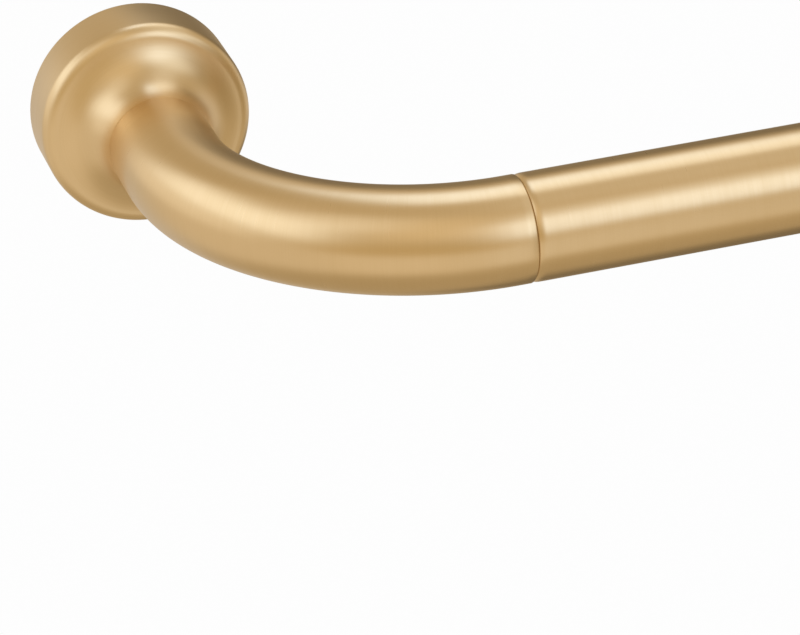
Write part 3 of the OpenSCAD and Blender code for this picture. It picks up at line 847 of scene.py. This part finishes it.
for _, az, el, half_width, half_height, softness, tint, strength in SOFT_BOXES:
    mask = 1.0
    for angle, centre, half in ((azimuth, az, half_width), (elevation, el, half_height)):
        away = add_node(sky, "ShaderNodeMath", {0: angle, 1: math.radians(centre)},
                        operation="SUBTRACT").outputs[0]
        # ping-pong folds an angle to its size, the short way round
        away = add_node(sky, "ShaderNodeMath", {0: away, 1: math.pi}, operation="PINGPONG").outputs[0]
        inside = add_node(sky, "ShaderNodeMapRange",
                          {"Value": away, "From Min": math.radians(half - softness),
                           "From Max": math.radians(half + softness), "To Min": 1.0, "To Max": 0.0},
                          interpolation_type="SMOOTHSTEP").outputs[0]
        mask = add_node(sky, "ShaderNodeMath", {0: mask, 1: inside}, operation="MULTIPLY").outputs[0]
    colour = tuple(strength * v for v in linear(tint)[:3]) + (1.0,)
    light = add_node(sky, "ShaderNodeMix", {"Factor": mask, COLOUR_A: light, COLOUR_B: colour},
                     data_type="RGBA").outputs[MIXED_COLOUR]
seen = add_node(sky, "ShaderNodeLightPath").outputs["Is Camera Ray"]
backdrop = add_node(sky, "ShaderNodeMix",
                    {"Factor": seen, COLOUR_A: light, COLOUR_B: linear("#FEFEFE")},
                    data_type="RGBA").outputs[MIXED_COLOUR]
background = add_node(sky, "ShaderNodeBackground", {"Color": backdrop, "Strength": 1.0})
add_node(sky, "ShaderNodeOutputWorld", {"Surface": background.outputs[0]})
print(len(SOFT_BOXES), "soft boxes")

# %% [markdown]
# The rod hangs high on a wall, so the floor is far below it. It is pale paper, and so that it throws no
# light back into the metal it is left out of reflections and shadows.

# %% Floor
FLOOR_Z = -6.0               # the floor's height and edges, in metres
FLOOR_X = 25
FLOOR_BACK, FLOOR_FRONT = 30, -20
paper, paper_tree, paper_shader = new_material("paper_backdrop_matt")
fibres = add_node(paper_tree, "ShaderNodeTexNoise",
                  {"Vector": add_node(paper_tree, "ShaderNodeTexCoord").outputs["Object"],
                   "Scale": 40.0, "Detail": 2.0})
paper_tone = add_node(paper_tree, "ShaderNodeMix",
                      {"Factor": fibres.outputs["Fac"], COLOUR_A: linear("#FDFDFD"),
                       COLOUR_B: linear("#FEFEFE")}, data_type="RGBA")
paper_tree.links.new(paper_tone.outputs[MIXED_COLOUR], paper_shader.inputs["Emission Color"])
paper_shader.inputs["Base Color"].default_value = (0, 0, 0, 1)
paper_shader.inputs["Roughness"].default_value = 1.0
paper_shader.inputs["Specular IOR Level"].default_value = 0.0
paper_shader.inputs["Emission Strength"].default_value = 1.0
floor_mesh = bpy.data.meshes.new("floor")
floor_mesh.from_pydata([(-FLOOR_X, FLOOR_FRONT, FLOOR_Z), (FLOOR_X, FLOOR_FRONT, FLOOR_Z),
                        (FLOOR_X, FLOOR_BACK, FLOOR_Z), (-FLOOR_X, FLOOR_BACK, FLOOR_Z)], [], [(0, 1, 2, 3)])
floor = new_object("floor", floor_mesh, paper)
floor.visible_glossy = floor.visible_shadow = floor.visible_diffuse = False
print("floor at", FLOOR_Z, "m")

# %% [markdown]
# ## Camera
# A long lens, close to 180 mm, looks down on the left end from a little to its left. The plain "Standard"
# view keeps the gold as bright and as saturated as it is lit.

# %% Camera and view
camera_data = bpy.data.cameras.new("camera")
LENS, SENSOR_WIDTH = 179.556, 36                     # in millimetres
CAMERA_PLACE = (-0.181262, -0.888050, 0.400761)      # in metres
LOOK_AZIMUTH, LOOK_ELEVATION, LOOK_ROLL = -15.518, 27.23, -3.287   # in degrees
camera_data.lens, camera_data.sensor_width = LENS, SENSOR_WIDTH
camera_data.clip_end = 50
camera = bpy.data.objects.new("camera", camera_data)
bpy.context.scene.collection.objects.link(camera)
camera.matrix_world = (Matrix.Translation(CAMERA_PLACE)
                       @ Matrix.Rotation(math.radians(LOOK_AZIMUTH), 4, "Z")
                       @ Matrix.Rotation(math.radians(90 - LOOK_ELEVATION), 4, "X")
                       @ Matrix.Rotation(math.radians(LOOK_ROLL), 4, "Z"))
bpy.context.scene.camera = camera
bpy.context.scene.view_settings.view_transform = "Standard"
print("camera at", [round(v, 3) for v in camera.location])
